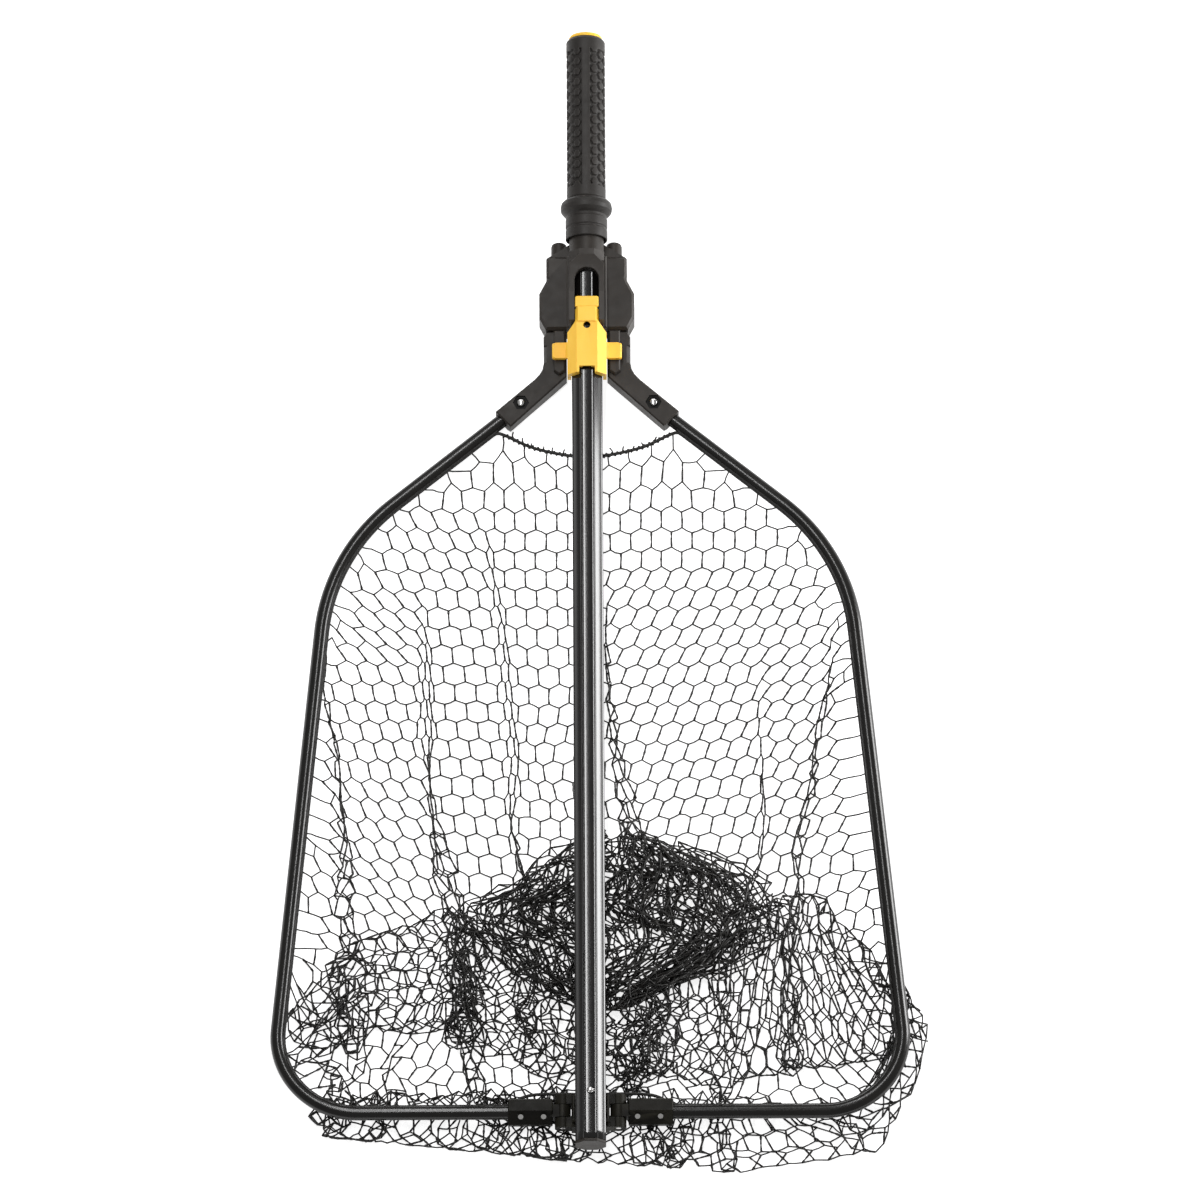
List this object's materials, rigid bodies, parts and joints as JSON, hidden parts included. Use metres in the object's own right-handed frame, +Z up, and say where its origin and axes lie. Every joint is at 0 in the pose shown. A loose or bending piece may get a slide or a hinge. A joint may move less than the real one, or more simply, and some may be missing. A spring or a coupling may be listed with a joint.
{
  "type": "landing net",
  "caption": "Folding landing net: two bent hoop halves hinged at a moulded yoke and a front link, with a sliding octagonal handle, a tipping latch and a deep mesh bag",
  "frame": {"origin": "middle of the flat underside of the yoke, on the ground that the stowed net lies on", "axes": "+X to the right of the handle seen from above, +Y along the handle towards the grip, +Z up out of the ground and out of the hoop's mouth"},
  "size_m": [0.6159, 1.1098, 0.0622],
  "materials": {
    "black_plastic": "fine matte moulded texture",
    "black_rubber": "matte soft grip",
    "yellow_plastic": "satin moulded",
    "handle_aluminium": "glossy black anodised",
    "hoop_coating": "satin black powder coat on aluminium tube",
    "bright_steel": "bright",
    "coated_mesh": "black coated knotless mesh",
    "black_cord": "braided cord"
  },
  "bodies": {
    "yoke": {"latch_pin": "bright_steel", "latch_spring": "bright_steel", "left_fold_pin": "bright_steel", "left_pin_cap": "black_plastic", "net_bag_middle": "coated_mesh", "rear_cord_span": "black_cord", "right_fold_pin": "bright_steel", "right_pin_cap": "black_plastic", "yoke_front_shell": "black_plastic", "yoke_rear_shell": "black_plastic", "yoke_screw_1": "bright_steel", "yoke_screw_2": "bright_steel", "yoke_screw_3": "bright_steel", "yoke_screw_4": "bright_steel"},
    "latch": {"latch_lever": "yellow_plastic"},
    "handle": {"button_spring": "bright_steel", "grip": "black_rubber", "grip_end_cap": "yellow_plastic", "handle_tube": "handle_aluminium", "stop_collar": "black_rubber", "tube_end_plug": "black_plastic"},
    "snap_button": {"snap_button": "bright_steel"},
    "left_wing": {"left_arm": "black_plastic", "left_arm_bolt": "bright_steel", "left_arm_nut": "bright_steel", "left_front_bracket": "black_plastic", "left_hoop_tube": "hoop_coating", "left_rim_cord": "black_cord", "left_rivet_inner": "bright_steel", "left_rivet_outer": "bright_steel", "net_bag_left": "coated_mesh"},
    "right_wing": {"net_bag_right": "coated_mesh", "right_arm": "black_plastic", "right_arm_bolt": "bright_steel", "right_arm_nut": "bright_steel", "right_front_bracket": "black_plastic", "right_hoop_tube": "hoop_coating", "right_rim_cord": "black_cord", "right_rivet_inner": "bright_steel", "right_rivet_outer": "bright_steel"},
    "front_link": {"front_cord_span": "black_cord", "front_hinge_link": "black_plastic", "left_front_pin": "bright_steel", "right_front_pin": "bright_steel"}
  },
  "joints": [
    {"name": "handle_slide", "type": "slide", "parent": "yoke", "child": "handle", "axis": [0, 1, 0], "range_m": [0, 0.7476]},
    {"name": "button_press", "type": "slide", "parent": "handle", "child": "snap_button", "axis": [0, 0, -1], "range_m": [0, 0.0032], "stiffness_N_per_m": 1200, "springref_m": -0.003},
    {"name": "latch_release", "type": "hinge", "parent": "yoke", "child": "latch", "pos_m": [0, -0.028, 0.0556], "axis": [-1, 0, 0], "range_deg": [0, 12], "stiffness_Nm_per_rad": 0.6, "springref_deg": -17.19},
    {"name": "left_fold", "type": "hinge", "parent": "yoke", "child": "left_wing", "pos_m": [-0.0257, -0.04, 0.016], "axis": [0, 1, 0], "range_deg": [0, 80]},
    {"name": "right_fold", "type": "hinge", "parent": "yoke", "child": "right_wing", "pos_m": [0.0257, -0.04, 0.016], "axis": [0, -1, 0], "range_deg": [0, 80]},
    {"name": "front_link_turn", "type": "hinge", "parent": "left_wing", "child": "front_link", "pos_m": [-0.0257, -0.8025, 0.016], "axis": [0, 1, 0], "range_deg": [-80, 0]}
  ],
  "couplings": [
    {"joint": "front_link_turn", "follows": "left_fold", "ratio": -1}
  ]
}
